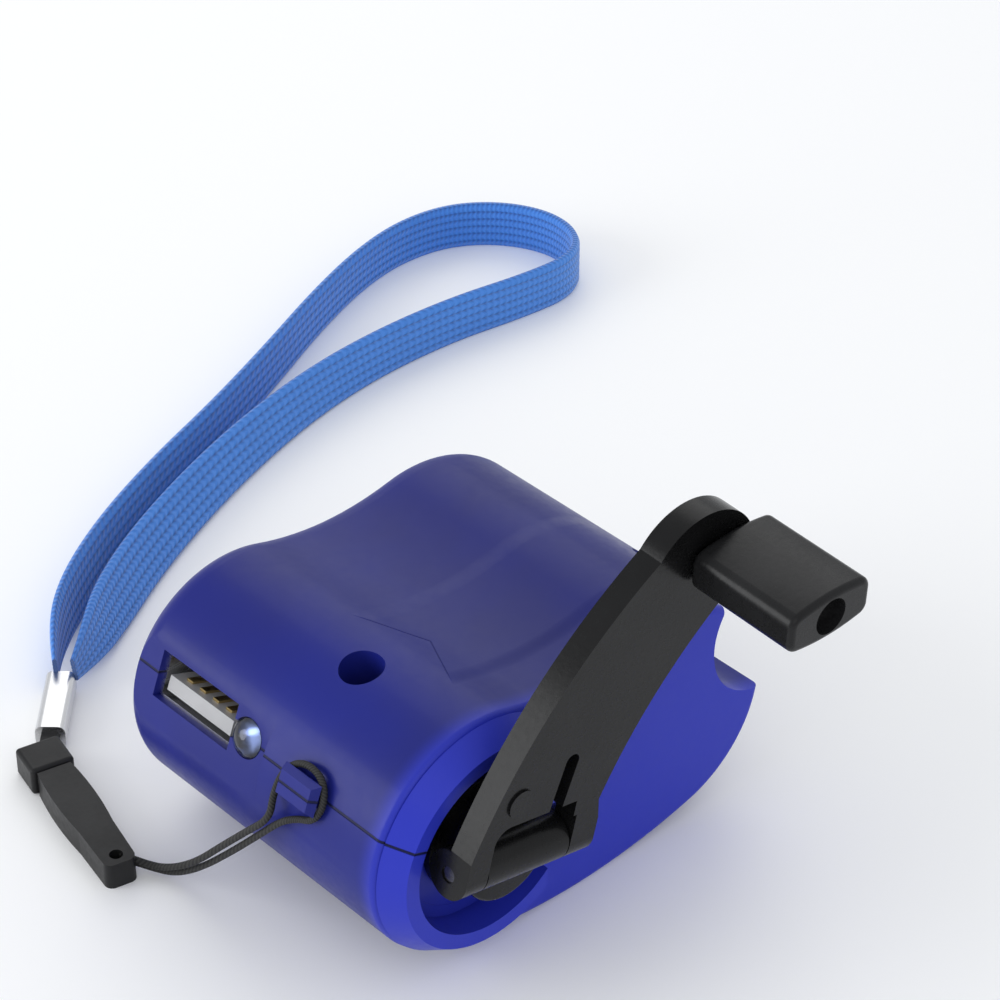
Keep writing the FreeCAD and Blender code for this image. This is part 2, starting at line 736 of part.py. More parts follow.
def lamp():
    """A clear lamp with a low dome; its flange has a flat on the socket's side."""
    tip = facet_depth + lamp_proud
    back = tip - lamp_length
    dome_radius = (lamp_radius ** 2 + lamp_proud ** 2) / (2 * lamp_proud)
    body = Part.makeCylinder(lamp_radius, lamp_length, vec(back, 0, 0), vec(1, 0, 0))
    dome = Part.makeCylinder(lamp_radius, lamp_proud, vec(facet_depth, 0, 0), vec(1, 0, 0))
    dome = dome.common(Part.makeSphere(dome_radius, vec(tip - dome_radius, 0, 0)))
    body = body.cut(box_about(facet_depth, tip + 1, -lamp_radius - 1, lamp_radius + 1, -lamp_radius - 1, lamp_radius + 1))
    flange = Part.makeCylinder(lamp_flange_radius, lamp_flange_length, vec(back - lamp_flange_length, 0, 0), vec(1, 0, 0))
    flange = flange.cut(box_about(0, tip, -lamp_flange_radius - 1, -lamp_radius, -lamp_flange_radius, lamp_flange_radius))
    x1 = back - lamp_flange_length
    x0 = x1 - lead_bend
    half = lead_width / 2
    leads = []
    for side in (-1, 1):
        y = side * lead_pitch / 2
        level = box_about(x0, x1, y - half, y + half, -half, half)
        leads.append(level.fuse(box_about(x0, x0 + lead_width, y - half, y + half, -usb_height / 2, half)))
    return {"lamp": on_port(body.fuse([dome, flange]), lamp_y),
            "lamp_leads": on_port(Part.makeCompound(leads), lamp_y)}


def circuit_board():
    """The board lies under the socket and the lamp, parallel to the port axis."""
    top = -usb_height / 2
    low = top - board_thickness
    mid = (board_y0 + board_y1) / 2
    half = (board_y1 - board_y0) / 2
    board = box_about(board_back, board_front, -half, half, low, top)
    z = low - capacitor_height
    can = Part.makeCylinder(capacitor_radius, capacitor_height, vec(capacitor_x, capacitor_y, z))
    can = can.makeFillet(0.5, [e for e in can.Edges if abs(e.BoundBox.ZMax - z) < 1e-4])
    chip = box_about(chip_x, chip_x + chip_length, chip_y, chip_y + chip_width, low - chip_height, low)
    diodes = []
    for k in range(2):
        y = diode_y + diode_pitch * k
        diodes.append(box_about(diode_x, diode_x + diode_length, y, y + diode_width, low - diode_height, low))
    coil = Part.makeCylinder(coil_radius, coil_height, vec(coil_x, coil_y, low - coil_height))
    nodes = {"circuit_board": board, "storage_capacitor": can, "regulator_chip": chip,
             "rectifier_diodes": Part.makeCompound(diodes), "inductor": coil}
    return {name: on_port(shape, mid) for name, shape in nodes.items()}


# Route of the strap, from the crimp round the loop and back; X and Y from the crank axis
strap_route = [
    (-4.8, 68.9), (0.2, 72.9), (6.2, 78.2), (15.2, 83.9), (27.0, 89.2), (41.0, 93.7),
    (55.0, 96.5), (68.0, 97.5), (81.0, 97.0), (92.5, 94.9), (101.4, 94.3), (106.4, 98.2),
    (107.4, 105.0), (104.2, 111.8), (98.0, 116.7), (89.6, 118.0), (80.0, 116.2), (68.0, 111.6),
    (54.0, 105.0), (40.0, 98.9), (26.0, 93.9), (13.0, 88.2), (2.4, 81.8), (-3.8, 75.8), (-7.6, 70.8),
]

# Route of the string, from the clip up to the lug, once round its neck and back
string_start = [(-20.6, 39.2, -15.4), (-18.9, 36.9, -16.2), (-17.7, 34.0, -15.8), (-17.2, 29.6, -12.2),
                (-16.9, 24.6, -6.9), (-16.5, 20.4, -2.2)]
string_loop = [(16.4, -4.6, 0.5), (14.6, -3.4, 0.0), (12.5, -2.6, 0.0), (11.6, -0.4, 0.0), (12.4, 2.1, 0.0),
               (14.6, 2.9, 0.0), (17.0, 2.2, 0.0), (18.6, 0.0, 0.0), (18.7, -2.6, 0.3), (17.7, -5.0, 0.9)]
string_return = [(-17.1, 21.4, -1.8), (-17.5, 25.4, -6.2), (-17.9, 30.2, -11.6), (-18.6, 34.6, -14.9),
                 (-19.7, 37.4, -15.3), (-21.3, 39.7, -14.4)]


def rounded_path(points):
    """Straight runs joined by tangent arcs, each as large as its two runs allow."""
    edges = []
    radii = []
    here = points[0]
    for before, corner, after in zip(points, points[1:], points[2:]):
        into = corner - before
        away = after - corner
        shorter = min(into.Length, away.Length)
        into.normalize()
        away.normalize()
        turn = math.acos(max(-1.0, min(1.0, into.dot(away))))
        cut = 0.45 * shorter
        radius = cut / math.tan(turn / 2)
        start = corner - into * cut
        end = corner + away * cut
        inward = (away - into).normalize()
        centre = corner + inward * (radius / math.cos(turn / 2))
        middle = centre - inward * radius
        edges.append(Part.LineSegment(here, start).toShape())
        edges.append(Part.Arc(start, middle, end).toShape())
        radii.append(round(radius, 1))
        here = end
    edges.append(Part.LineSegment(here, points[-1]).toShape())
    return Part.Wire(edges), radii


def swept(path, section):
    return path.makePipeShell([section], True, False)


ferrule_axis = vec(-7.4, -7.8, 0).normalize()
ferrule_front = vec(-6.9, 70.4, 0)
clip_axis = vec(-0.22, -0.975, 0).normalize()
clip_top = vec(-17.2, 61.2, 0)


def along_table(shape, origin, axis):
    """Lay a shape drawn along X, with its underside at z = 0, on the table."""
    across = vec(0, 0, 1).cross(axis)
    return on_axes(shape, vec(origin.x, origin.y, table_z), axis, across, vec(0, 0, 1))


def ferrule_and_clip():
    """The crimp, the clip's socket whose neck it grips, and the clip's tongue."""
    half = clip_neck_width / 2
    low = (ferrule_height - clip_neck_height) / 2
    neck = box_about(ferrule_length - clip_neck_grip, ferrule_length + clip_neck_reach, -half, half,
                     low, low + clip_neck_height)
    sleeve = box_about(0, ferrule_length, -ferrule_width / 2, ferrule_width / 2, 0, ferrule_height)
    long_edges = [e for e in sleeve.Edges if abs(e.BoundBox.XLength - ferrule_length) < 1e-4]
    sleeve = sleeve.makeFillet(ferrule_round, long_edges).cut(neck)
    socket = box_about(0, clip_socket_length, -clip_socket_width / 2, clip_socket_width / 2, 0, clip_socket_height)
    socket = socket.makeFillet(clip_round, socket.Edges)
    w0 = clip_tongue_width / 2
    w1 = w0 - clip_tongue_taper
    middle = (clip_tongue_start + clip_waist) / 2
    edges = [
        Part.makeLine(vec(clip_tongue_start, -w0, 0), vec(clip_tongue_start, w0, 0)),
        Part.Arc(vec(clip_tongue_start, w0, 0), vec(middle, clip_bulge_width / 2, 0), vec(clip_waist, w0, 0)).toShape(),
        Part.makeLine(vec(clip_waist, w0, 0), vec(clip_tongue_end, w1, 0)),
        Part.makeLine(vec(clip_tongue_end, w1, 0), vec(clip_tongue_end, -w1, 0)),
        Part.makeLine(vec(clip_tongue_end, -w1, 0), vec(clip_waist, -w0, 0)),
        Part.Arc(vec(clip_waist, -w0, 0), vec(middle, -clip_bulge_width / 2, 0),
                 vec(clip_tongue_start, -w0, 0)).toShape(),
    ]
    tongue = Part.Face(Part.Wire(edges)).extrude(vec(0, 0, clip_height))
    corners = [e for e in tongue.Edges if e.BoundBox.XMin > clip_tongue_end - 0.1 and e.BoundBox.ZLength > 1]
    tongue = tongue.makeFillet(2 * clip_round, corners)
    root = box_about(clip_socket_length - 1, clip_tongue_start, -half, half, low, low + clip_neck_height)
    tongue = tongue.fuse(root)
    tongue = tongue.cut(Part.makeCylinder(clip_hole_radius, clip_height + 2, vec(clip_hole_x, 0, -1)))
    socket = along_table(socket.cut(root), clip_top, clip_axis)
    socket = socket.fuse(along_table(neck, ferrule_front, ferrule_axis))
    return along_table(sleeve, ferrule_front, ferrule_axis), socket, along_table(tongue, clip_top, clip_axis)


def wrist_strap():
    middle = table_z + strap_width / 2
    points = [vec(x, y, middle) for x, y in strap_route]
    path, radii = rounded_path(points)
    along = (points[1] - points[0]).normalize()
    side = vec(-along.y, along.x, 0) * (strap_thickness / 2)
    up = vec(0, 0, strap_width / 2)
    p = points[0]
    corners = [p - side - up, p + side - up, p + side + up, p - side + up]
    band = swept(path, Part.makePolygon(corners + [corners[0]]))
    print("strap radii", radii, "length", round(path.Length, 1),
          "volume against section x length", round(band.Volume / (path.Length * strap_width * strap_thickness), 4))
    behind = box_about(0, ferrule_length, -strap_width, strap_width, -1, strap_width + 1)
    return band.cut(along_table(behind, ferrule_front, ferrule_axis))


def lanyard_string():
    loop = []
    for y, s, d in string_loop:
        loop.append(out_dir * (string_loop_reach + d) + up_dir * (parting_rise + s) + vec(0, y, 0))
    points = [vec(*p) for p in string_start] + loop + [vec(*p) for p in string_return]
    path, radii = rounded_path(points)
    along = (points[1] - points[0]).normalize()
    circle = Part.Wire(Part.Circle(points[0], along, string_radius).toShape())
    cord = swept(path, circle)
    area = math.pi * string_radius ** 2
    print("string radii", radii, "length", round(path.Length, 1),
          "volume against section x length", round(cord.Volume / (path.Length * area), 4))
    return cord


def case_middle():
    return vec(belly[0], (crank_face_y + case_end_y) / 2, table_z)


def export(nodes):
    os.makedirs("parts", exist_ok=True)
    for name, shape in nodes.items():
        moved = shape.copy()
        moved.translate(case_middle() * -1)
        moved.exportStep("parts/" + name + ".step")
        print(name, len(moved.Solids), round(moved.Volume, 2), moved.isValid())


outer_form, hollow_form, upper_form = make_case()
parts = {}
parts["upper_shell"], parts["lower_shell"] = shells()
parts.update(gear_train())
parts["gear_plate"] = gear_plate(hollow_form)
parts.update(motor())
parts["crank_hub"] = crank_hub()
parts["crank_arm"] = crank_arm()
parts["hinge_pin"] = hinge_pin()
parts["knob_axle"] = knob_axle()
parts["knob"] = knob()
parts.update(usb_socket())
parts.update(lamp())
parts.update(circuit_board())
bush = rod(bush_radius, 0, 0, recess_floor_y, recess_wall_y)
parts["crank_bush"] = bush.cut(rod(shaft_radius + running_gap, 0, 0, 0, recess_wall_y + 1))
hub_screw = rod(hub_screw_radius, 0, 0, hub_bore_start_y, shaft_end_y)
hub_screw_head = rod(hub_screw_head_radius, 0, 0, shaft_end_y, shaft_end_y + hub_screw_head_height)
parts["hub_screw"] = hub_screw.fuse(hub_screw_head)
screw = Part.makeCylinder(screw_head_radius, screw_head_height, vec(screw_x, screw_y, screw_seat_z))
shank = Part.makeCylinder(screw_shank_radius, screw_length, vec(screw_x, screw_y, screw_seat_z - screw_length))
parts["case_screw"] = screw.fuse(shank)
parts["strap_ferrule"], parts["clip_socket"], tongue = ferrule_and_clip()
parts["wrist_strap"] = wrist_strap()
parts["lanyard_string"] = lanyard_string()
parts["clip_tongue"] = tongue.cut(parts["lanyard_string"])
export(parts)
print("flat at x", round(belly[0], 2), "belly low", round(belly[1] - belly_radius, 2))
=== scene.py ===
import bpy
import bmesh
import math
from mathutils import Vector, Matrix


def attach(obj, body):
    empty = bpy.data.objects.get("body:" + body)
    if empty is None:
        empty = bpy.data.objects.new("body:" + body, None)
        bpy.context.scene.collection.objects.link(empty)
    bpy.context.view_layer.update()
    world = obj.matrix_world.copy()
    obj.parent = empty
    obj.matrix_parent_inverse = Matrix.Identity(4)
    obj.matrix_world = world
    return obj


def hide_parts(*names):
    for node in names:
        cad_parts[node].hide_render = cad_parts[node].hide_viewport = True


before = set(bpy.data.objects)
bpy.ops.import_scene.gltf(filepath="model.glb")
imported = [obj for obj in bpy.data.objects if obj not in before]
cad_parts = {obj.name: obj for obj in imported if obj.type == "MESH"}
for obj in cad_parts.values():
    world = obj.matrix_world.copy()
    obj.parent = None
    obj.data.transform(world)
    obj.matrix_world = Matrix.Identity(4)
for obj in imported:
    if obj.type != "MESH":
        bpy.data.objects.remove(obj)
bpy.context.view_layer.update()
scene = bpy.context.scene
crankAxis = Vector((-0.01609, -0.0245, 0.017))  # sizes in millimetres are measured from here


def place(x, y, z):
    return crankAxis + Vector((x, y, z)) * 0.001


# the front ports look out of the case and up from the table
portTilt = math.radians(21.5)
outOfPort = Vector((-math.cos(portTilt), 0, math.sin(portTilt)))
acrossPort = Vector((math.sin(portTilt), 0, math.cos(portTilt)))
partingRise = 0.9  # from the crank's axis up to where the two halves of the case meet

print("frame loaded")

# camera and light

cameraSet = {"place": (-175.66, -191.05, 230.02), "look": (0.5521, 0.5988, -0.5802), "lens": 116.43}
lightSet = {
    "back": {"place": (0.42, 0.50, 0.50), "size": 0.60, "power": 0.9, "color": (1.0, 0.99, 0.97)},
    "left": {"place": (-0.60, 0.35, 0.22), "size": 0.50, "power": 2.3, "color": (0.98, 0.99, 1.0)},
    "front": {"place": (-0.30, -0.55, 0.50), "size": 0.60, "power": 0.5, "color": (1.0, 1.0, 1.0)},
}
lightAim = (0, 0, 0.02)
skySet = {"color": (0.95, 0.97, 1.0), "strength": 0.80}


def makeCamera():
    data = bpy.data.cameras.new("camera")
    data.lens = cameraSet["lens"]
    data.sensor_width = 36
    data.clip_start = 0.01
    data.clip_end = 20
    camera = bpy.data.objects.new("camera", data)
    scene.collection.objects.link(camera)
    camera.location = place(*cameraSet["place"])
    camera.rotation_euler = Vector(cameraSet["look"]).to_track_quat("-Z", "Y").to_euler()
    scene.camera = camera


def makeLights():
    for name, spec in lightSet.items():
        data = bpy.data.lights.new(name, "AREA")
        data.shape = "DISK"
        data.size = spec["size"]
        data.energy = spec["power"]
        data.color = spec["color"]
        lamp = bpy.data.objects.new(name, data)
        scene.collection.objects.link(lamp)
        lamp.location = spec["place"]
        lamp.rotation_euler = (Vector(lightAim) - Vector(spec["place"])).to_track_quat("-Z", "Y").to_euler()
    world = bpy.data.worlds.new("studio")
    world.use_nodes = True
    world.node_tree.nodes["Background"].inputs["Color"].default_value = (*skySet["color"], 1)
    world.node_tree.nodes["Background"].inputs["Strength"].default_value = skySet["strength"]
    scene.world = world
    scene.view_settings.view_transform = "Standard"


# material helpers

def newMaterial(name):
    material = bpy.data.materials.new(name)
    material.use_nodes = True
    nodes = material.node_tree.nodes
    return material, nodes, material.node_tree.links, nodes["Principled BSDF"]


def objectSpace(nodes, links, scale=(1, 1, 1)):
    coords = nodes.new("ShaderNodeTexCoord")
    mapping = nodes.new("ShaderNodeMapping")
    mapping.inputs["Scale"].default_value = scale
    links.new(coords.outputs["Object"], mapping.inputs["Vector"])
    return mapping.outputs["Vector"]


def noise(nodes, links, vector, scale, detail=4, roughness=0.5):
    texture = nodes.new("ShaderNodeTexNoise")
    texture.inputs["Scale"].default_value = scale
    texture.inputs["Detail"].default_value = detail
    texture.inputs["Roughness"].default_value = roughness
    links.new(vector, texture.inputs["Vector"])
    return texture.outputs["Fac"]


def ramp(nodes, links, value, stops):
    node = nodes.new("ShaderNodeValToRGB")
    points = node.color_ramp.elements
    while len(points) < len(stops):
        points.new(0.5)
    for point, (position, color) in zip(points, stops):
        point.position = position
        point.color = color if len(color) == 4 else (*color, 1)
    links.new(value, node.inputs["Fac"])
    return node.outputs["Color"]


def spread(nodes, links, value, low, high):
    node = nodes.new("ShaderNodeMapRange")
    node.inputs["To Min"].default_value = low
    node.inputs["To Max"].default_value = high
    links.new(value, node.inputs["Value"])
    return node.outputs["Result"]


def bump(nodes, links, height, shader, strength, distance, below=None):
    node = nodes.new("ShaderNodeBump")
    node.inputs["Strength"].default_value = strength
    node.inputs["Distance"].default_value = distance
    links.new(height, node.inputs["Height"])
    if below is not None:
        links.new(below, node.inputs["Normal"])
    links.new(node.outputs["Normal"], shader.inputs["Normal"])
    return node.outputs["Normal"]


# finishes

caseSet = {
    "deep": (0.014, 0.018, 0.165), "royal": (0.013, 0.020, 0.23), "lit": (0.028, 0.042, 0.52),
    "litFrom": -0.0185, "litTo": -0.0222,
    "motorPlace": (0.012, 0.0, 0.030), "motorReach": (0.026, 0.024, 0.024),
    "seamTone": (0.006, 0.008, 0.050), "seamHalfWidth": 0.00013, "seamEnd": -0.020,
    "creaseApex": (-0.0091, -0.0063), "creaseSlope": 0.50, "creaseHalfLength": 0.0085,
    "creaseHalfWidth": 0.00012, "creaseFade": 0.7, "creaseTop": (0.026, 0.029), "lineDepth": 0.00030,
    "cloudScale": 42, "motorShade": 0.34, "deepAt": 0.18, "royalAt": 0.62,
    "grainScale": 900, "grainBump": (0.10, 0.0001), "roughness": (0.30, 0.48),
    "transmission": 0.12, "refraction": 1.45, "specular": 0.14, "coat": 0.08, "coatRoughness": 0.15,
}


def between(nodes, links, value, low, high):
    node = nodes.new("ShaderNodeMapRange")
    node.interpolation_type = "SMOOTHSTEP"
    node.inputs["From Min"].default_value = low
    node.inputs["From Max"].default_value = high
    links.new(value, node.inputs["Value"])
    return node.outputs["Result"]


def blend(nodes, links, factor, first, second):
    node = nodes.new("ShaderNodeMix")
    node.data_type = "RGBA"
    links.new(factor, node.inputs["Factor"])
    for name, color in (("A", first), ("B", second)):
        if isinstance(color, tuple):
            node.inputs[name].default_value = (*color, 1)
        else:
            links.new(color, node.inputs[name])
    return node.outputs["Result"]


def work(nodes, links, operation, first, second=0.0):
    node = nodes.new("ShaderNodeMath")
    node.operation = operation
    for slotIndex, value in enumerate((first, second)):
        if isinstance(value, float):
            node.inputs[slotIndex].default_value = value
        else:
            links.new(value, node.inputs[slotIndex])
    return node.outputs["Value"]


def crease(nodes, links, split):
    # a low chevron step in the top of the case, round the screw hole
    apex = caseSet["creaseApex"]
    away = work(nodes, links, "ABSOLUTE", work(nodes, links, "SUBTRACT", split.outputs["Y"], apex[1]))
    line = work(nodes, links, "SUBTRACT", split.outputs["X"], apex[0])
    line = work(nodes, links, "ADD", line, work(nodes, links, "MULTIPLY", away, caseSet["creaseSlope"]))
    step = between(nodes, links, line, -caseSet["creaseHalfWidth"], caseSet["creaseHalfWidth"])
    reach = caseSet["creaseHalfLength"]
    fade = between(nodes, links, away, reach, reach * caseSet["creaseFade"])
    top = between(nodes, links, split.outputs["Z"], *caseSet["creaseTop"])
    return work(nodes, links, "MULTIPLY", work(nodes, links, "MULTIPLY", step, fade), top)


def seam(nodes, links, space, split):
    # the fine line below the ports where the two halves of the case meet
    offset = nodes.new("ShaderNodeVectorMath")
    offset.operation = "SUBTRACT"
    links.new(space, offset.inputs[0])
    offset.inputs[1].default_value = tuple(place(0, 0, 0) + acrossPort * partingRise * 0.001)
    height = nodes.new("ShaderNodeVectorMath")
    height.operation = "DOT_PRODUCT"
    links.new(offset.outputs["Vector"], height.inputs[0])
    height.inputs[1].default_value = tuple(acrossPort)
    gap = work(nodes, links, "ABSOLUTE", height.outputs["Value"])
    line = between(nodes, links, gap, caseSet["seamHalfWidth"] * 0.5, caseSet["seamHalfWidth"] * 1.5)
    elsewhere = between(nodes, links, split.outputs["X"], caseSet["seamEnd"] - 0.001, caseSet["seamEnd"])
    return work(nodes, links, "MAXIMUM", line, elsewhere)


def frostedBlue():
    material, nodes, links, shader = newMaterial("frostedBlue")
    space = objectSpace(nodes, links)
    split = nodes.new("ShaderNodeSeparateXYZ")
    links.new(space, split.inputs["Vector"])
    cloud = noise(nodes, links, space, caseSet["cloudScale"], 3)
    # painted shade: a spherical darkening centred on the motor inside the case, standing in for the motor's
    # shadow seen through the plastic; it is taken off the random cloud mottling, so the deep blue stop
    # carries both
    mapping = nodes.new("ShaderNodeMapping")
    mapping.inputs["Scale"].default_value = tuple(1 / r for r in caseSet["motorReach"])
    shift = [-c / r for c, r in zip(caseSet["motorPlace"], caseSet["motorReach"])]
    mapping.inputs["Location"].default_value = shift
    links.new(space, mapping.inputs["Vector"])
    shade = nodes.new("ShaderNodeTexGradient")
    shade.gradient_type = "SPHERICAL"
    links.new(mapping.outputs["Vector"], shade.inputs["Vector"])
    motorShade = work(nodes, links, "MULTIPLY", shade.outputs["Fac"], caseSet["motorShade"])
    depth = work(nodes, links, "SUBTRACT", cloud, motorShade)
    stops = [(caseSet["deepAt"], caseSet["deep"]), (caseSet["royalAt"], caseSet["royal"])]
    body = ramp(nodes, links, depth, stops)
    # painted light: towards the crank side the case is blended into the brighter lit blue, a painted glow
    # standing in for light coming through the thin plastic there
    edge = between(nodes, links, split.outputs["Y"], caseSet["litFrom"], caseSet["litTo"])
    groove = seam(nodes, links, space, split)
    tone = blend(nodes, links, edge, body, caseSet["lit"])
    links.new(blend(nodes, links, groove, caseSet["seamTone"], tone), shader.inputs["Base Color"])
    grain = noise(nodes, links, space, caseSet["grainScale"], 3)
    links.new(spread(nodes, links, grain, *caseSet["roughness"]), shader.inputs["Roughness"])
    lines = bump(nodes, links, crease(nodes, links, split), shader, 1.0, caseSet["lineDepth"])
    lines = bump(nodes, links, groove, shader, 1.0, caseSet["lineDepth"], lines)
    bump(nodes, links, grain, shader, *caseSet["grainBump"], lines)
    shader.inputs["Transmission Weight"].default_value = caseSet["transmission"]
    shader.inputs["IOR"].default_value = caseSet["refraction"]
    shader.inputs["Specular IOR Level"].default_value = caseSet["specular"]
    shader.inputs["Coat Weight"].default_value = caseSet["coat"]
    shader.inputs["Coat Roughness"].default_value = caseSet["coatRoughness"]
    return material


blackSet = {"cloudScale": 140, "grainScale": 1500, "grainBump": (0.15, 0.00008), "specular": 0.2}


def satinBlack(name="satinBlack", rough=(0.30, 0.46), tone=0.006):
    material, nodes, links, shader = newMaterial(name)
    space = objectSpace(nodes, links)
    cloud = noise(nodes, links, space, blackSet["cloudScale"], 5)
    low = (tone, tone, tone * 1.05)
    high = (tone * 2, tone * 2, tone * 2.1)
    links.new(ramp(nodes, links, cloud, [(0.3, low), (0.75, high)]), shader.inputs["Base Color"])
    grain = noise(nodes, links, space, blackSet["grainScale"], 2)
    links.new(spread(nodes, links, grain, *rough), shader.inputs["Roughness"])
    bump(nodes, links, grain, shader, *blackSet["grainBump"])
    shader.inputs["Specular IOR Level"].default_value = blackSet["specular"]
    return material


metalSet = {"streak": (60, 60, 2000), "lowTone": 0.82, "bump": (0.08, 0.00005)}


def metal(name, color, rough=(0.18, 0.34)):
    material, nodes, links, shader = newMaterial(name)
    shader.inputs["Metallic"].default_value = 1.0
    brushed = noise(nodes, links, objectSpace(nodes, links, metalSet["streak"]), 1.0, 4)
    low = tuple(c * metalSet["lowTone"] for c in color)
    links.new(ramp(nodes, links, brushed, [(0.3, low), (0.7, color)]), shader.inputs["Base Color"])
    links.new(spread(nodes, links, brushed, *rough), shader.inputs["Roughness"])
    bump(nodes, links, brushed, shader, *metalSet["bump"])
    return material


mouldedSet = {"cloudScale": 200, "grainScale": 1200, "lowTone": 0.85, "roughness": (0.3, 0.45),
              "grainBump": (0.08, 0.00005)}


def moulded(name, color):
    material, nodes, links, shader = newMaterial(name)
    space = objectSpace(nodes, links)
    cloud = noise(nodes, links, space, mouldedSet["cloudScale"], 3)
    low = tuple(c * mouldedSet["lowTone"] for c in color)
    links.new(ramp(nodes, links, cloud, [(0.3, low), (0.7, color)]), shader.inputs["Base Color"])
    grain = noise(nodes, links, space, mouldedSet["grainScale"], 2)
    links.new(spread(nodes, links, grain, *mouldedSet["roughness"]), shader.inputs["Roughness"])
    bump(nodes, links, grain, shader, *mouldedSet["grainBump"])
    return material


lampSet = {"color": (0.30, 0.40, 0.78, 1), "refraction": 1.5, "grainScale": 800, "roughness": (0.08, 0.16)}


def clearLamp():
    material, nodes, links, shader = newMaterial("clearLamp")
    shader.inputs["Base Color"].default_value = lampSet["color"]
    shader.inputs["Transmission Weight"].default_value = 1.0
    shader.inputs["IOR"].default_value = lampSet["refraction"]
    grain = noise(nodes, links, objectSpace(nodes, links), lampSet["grainScale"], 2)
    links.new(spread(nodes, links, grain, *lampSet["roughness"]), shader.inputs["Roughness"])
    return material


def finish(materials):
    wanted = {
        "caseBlue": ["upper_shell", "lower_shell"],
        "armBlack": ["crank_arm", "crank_hub"],
        "knobBlack": ["knob"],
        "clipBlack": ["clip_socket", "clip_tongue"],
        "partBlack": ["motor_end_cap", "regulator_chip", "rectifier_diodes", "inductor"],
        "darkSteel": ["hinge_pin"],
        "steel": ["first_gear_axle", "second_gear_axle", "motor_shaft", "knob_axle", "usb_shell",
                  "lamp_leads", "hub_screw", "case_screw", "strap_ferrule", "motor_terminals"],
        "plateSteel": ["gear_plate", "motor_can"],
        "brass": ["motor_pinion", "usb_contacts", "crank_bush"],
        "nylon": ["crank_gear", "first_reduction_gear", "second_reduction_gear"],
        "tongueWhite": ["usb_tongue"],
        "clearLamp": ["lamp"],
        "boardGreen": ["circuit_board"],
        "sleeveBlue": ["storage_capacitor"],
    }
    for key, names in wanted.items():
        for name in names:
            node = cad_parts[name]
            for slotIndex in range(len(node.material_slots)):
                node.material_slots[slotIndex].material = materials[key]


# strap, a ribbed woven band that stands on its edge and leans over towards the crimp

strapSet = {
    "width": 7.0, "thickness": 1.3, "ribs": 6, "ribDepth": 0.12, "ribSteps": 6, "ribShape": 0.6,
    "edgeThickness": 0.55, "edgeSpread": 4, "stitches": 250, "chevron": 1.1, "threadHeight": 0.5,
    "dark": (0.010, 0.085, 0.36), "light": (0.060, 0.26, 0.78), "worn": (0.040, 0.17, 0.55),
    "wearScale": 160, "wear": 0.35, "roughness": 0.8, "sheen": 0.3, "bump": (0.7, 0.00025),
}
tableDrop = 17  # from the crank's axis down to the table
strapRoute = [
    # x, y, lean in degrees, and how far the crimp gathers the band
    (-5.8, 69.1, -8, 0.45), (-0.6, 72.3, -24, 0.82), (6.0, 77.0, -34, 1.0), (15.4, 82.6, -36, 1.0),
    (27.4, 88.0, -32, 1.0), (41.0, 92.8, -24, 1.0), (55.0, 96.2, -14, 1.0), (68.0, 97.5, -6, 1.0),
    (81.0, 97.0, -2, 1.0), (92.5, 94.9, 0, 1.0), (101.4, 94.3, 0, 1.0), (106.4, 98.2, 0, 1.0),
    (107.4, 105.0, 0, 1.0), (104.2, 111.8, 0, 1.0), (98.0, 116.7, 0, 1.0), (89.6, 118.0, 0, 1.0),
    (80.0, 116.2, 0, 1.0), (68.0, 111.6, 2, 1.0), (54.0, 105.0, 5, 1.0), (40.0, 98.9, 8, 1.0),
    (26.0, 93.6, 11, 1.0), (13.0, 87.6, 13, 1.0), (2.4, 81.0, 13, 1.0), (-4.0, 75.4, 8, 0.85),
    (-7.4, 70.7, 2, 0.45),
]


lineSteps = 24  # points per control point of a cord's line


def splineObject(name, points, leans=None, widths=None):
    data = bpy.data.curves.new(name, "CURVE")
    data.dimensions = "3D"
    data.resolution_u = lineSteps
    spline = data.splines.new("NURBS")
    spline.points.add(len(points) - 1)
    for point, spot in zip(spline.points, points):
        point.co = (*spot, 1)
    leans = leans or [0] * len(points)
    widths = widths or [1] * len(points)
    for point, lean, width in zip(spline.points, leans, widths):
        point.tilt = math.radians(lean)
        point.radius = width
    spline.order_u = 3
    spline.use_endpoint_u = True
    curve = bpy.data.objects.new(name, data)
    scene.collection.objects.link(curve)
    return curve


def linePoints(curve):
    bpy.context.view_layer.update()
    line = bpy.data.meshes.new_from_object(curve.evaluated_get(bpy.context.evaluated_depsgraph_get()))
    return [v.co.copy() for v in line.vertices]


def keepMesh(curve, name):
    bpy.context.view_layer.update()
    mesh = bpy.data.meshes.new_from_object(curve.evaluated_get(bpy.context.evaluated_depsgraph_get()))
    piece = bpy.data.objects.new(name, mesh)
    scene.collection.objects.link(piece)
    bpy.data.objects.remove(curve)
    for face in mesh.polygons:
        face.use_smooth = True
    return piece


def strapSection():
    # closed profile: two ribbed faces joined by rounded edges
    half = strapSet["thickness"] / 2000
    height = strapSet["width"] / 2000
    rise = strapSet["ribDepth"] / 1000
    steps = strapSet["ribs"] * strapSet["ribSteps"]
    side = []
    for i in range(steps + 1):
        t = i / steps
        rib = abs(math.sin(math.pi * strapSet["ribs"] * t)) ** strapSet["ribShape"]
        edge = min(1.0, strapSet["edgeSpread"] * min(t, 1 - t) + strapSet["edgeThickness"])
        side.append(((half - rise + rise * rib) * edge, (2 * t - 1) * height))
    return side + [(-x, y) for x, y in reversed(side)]


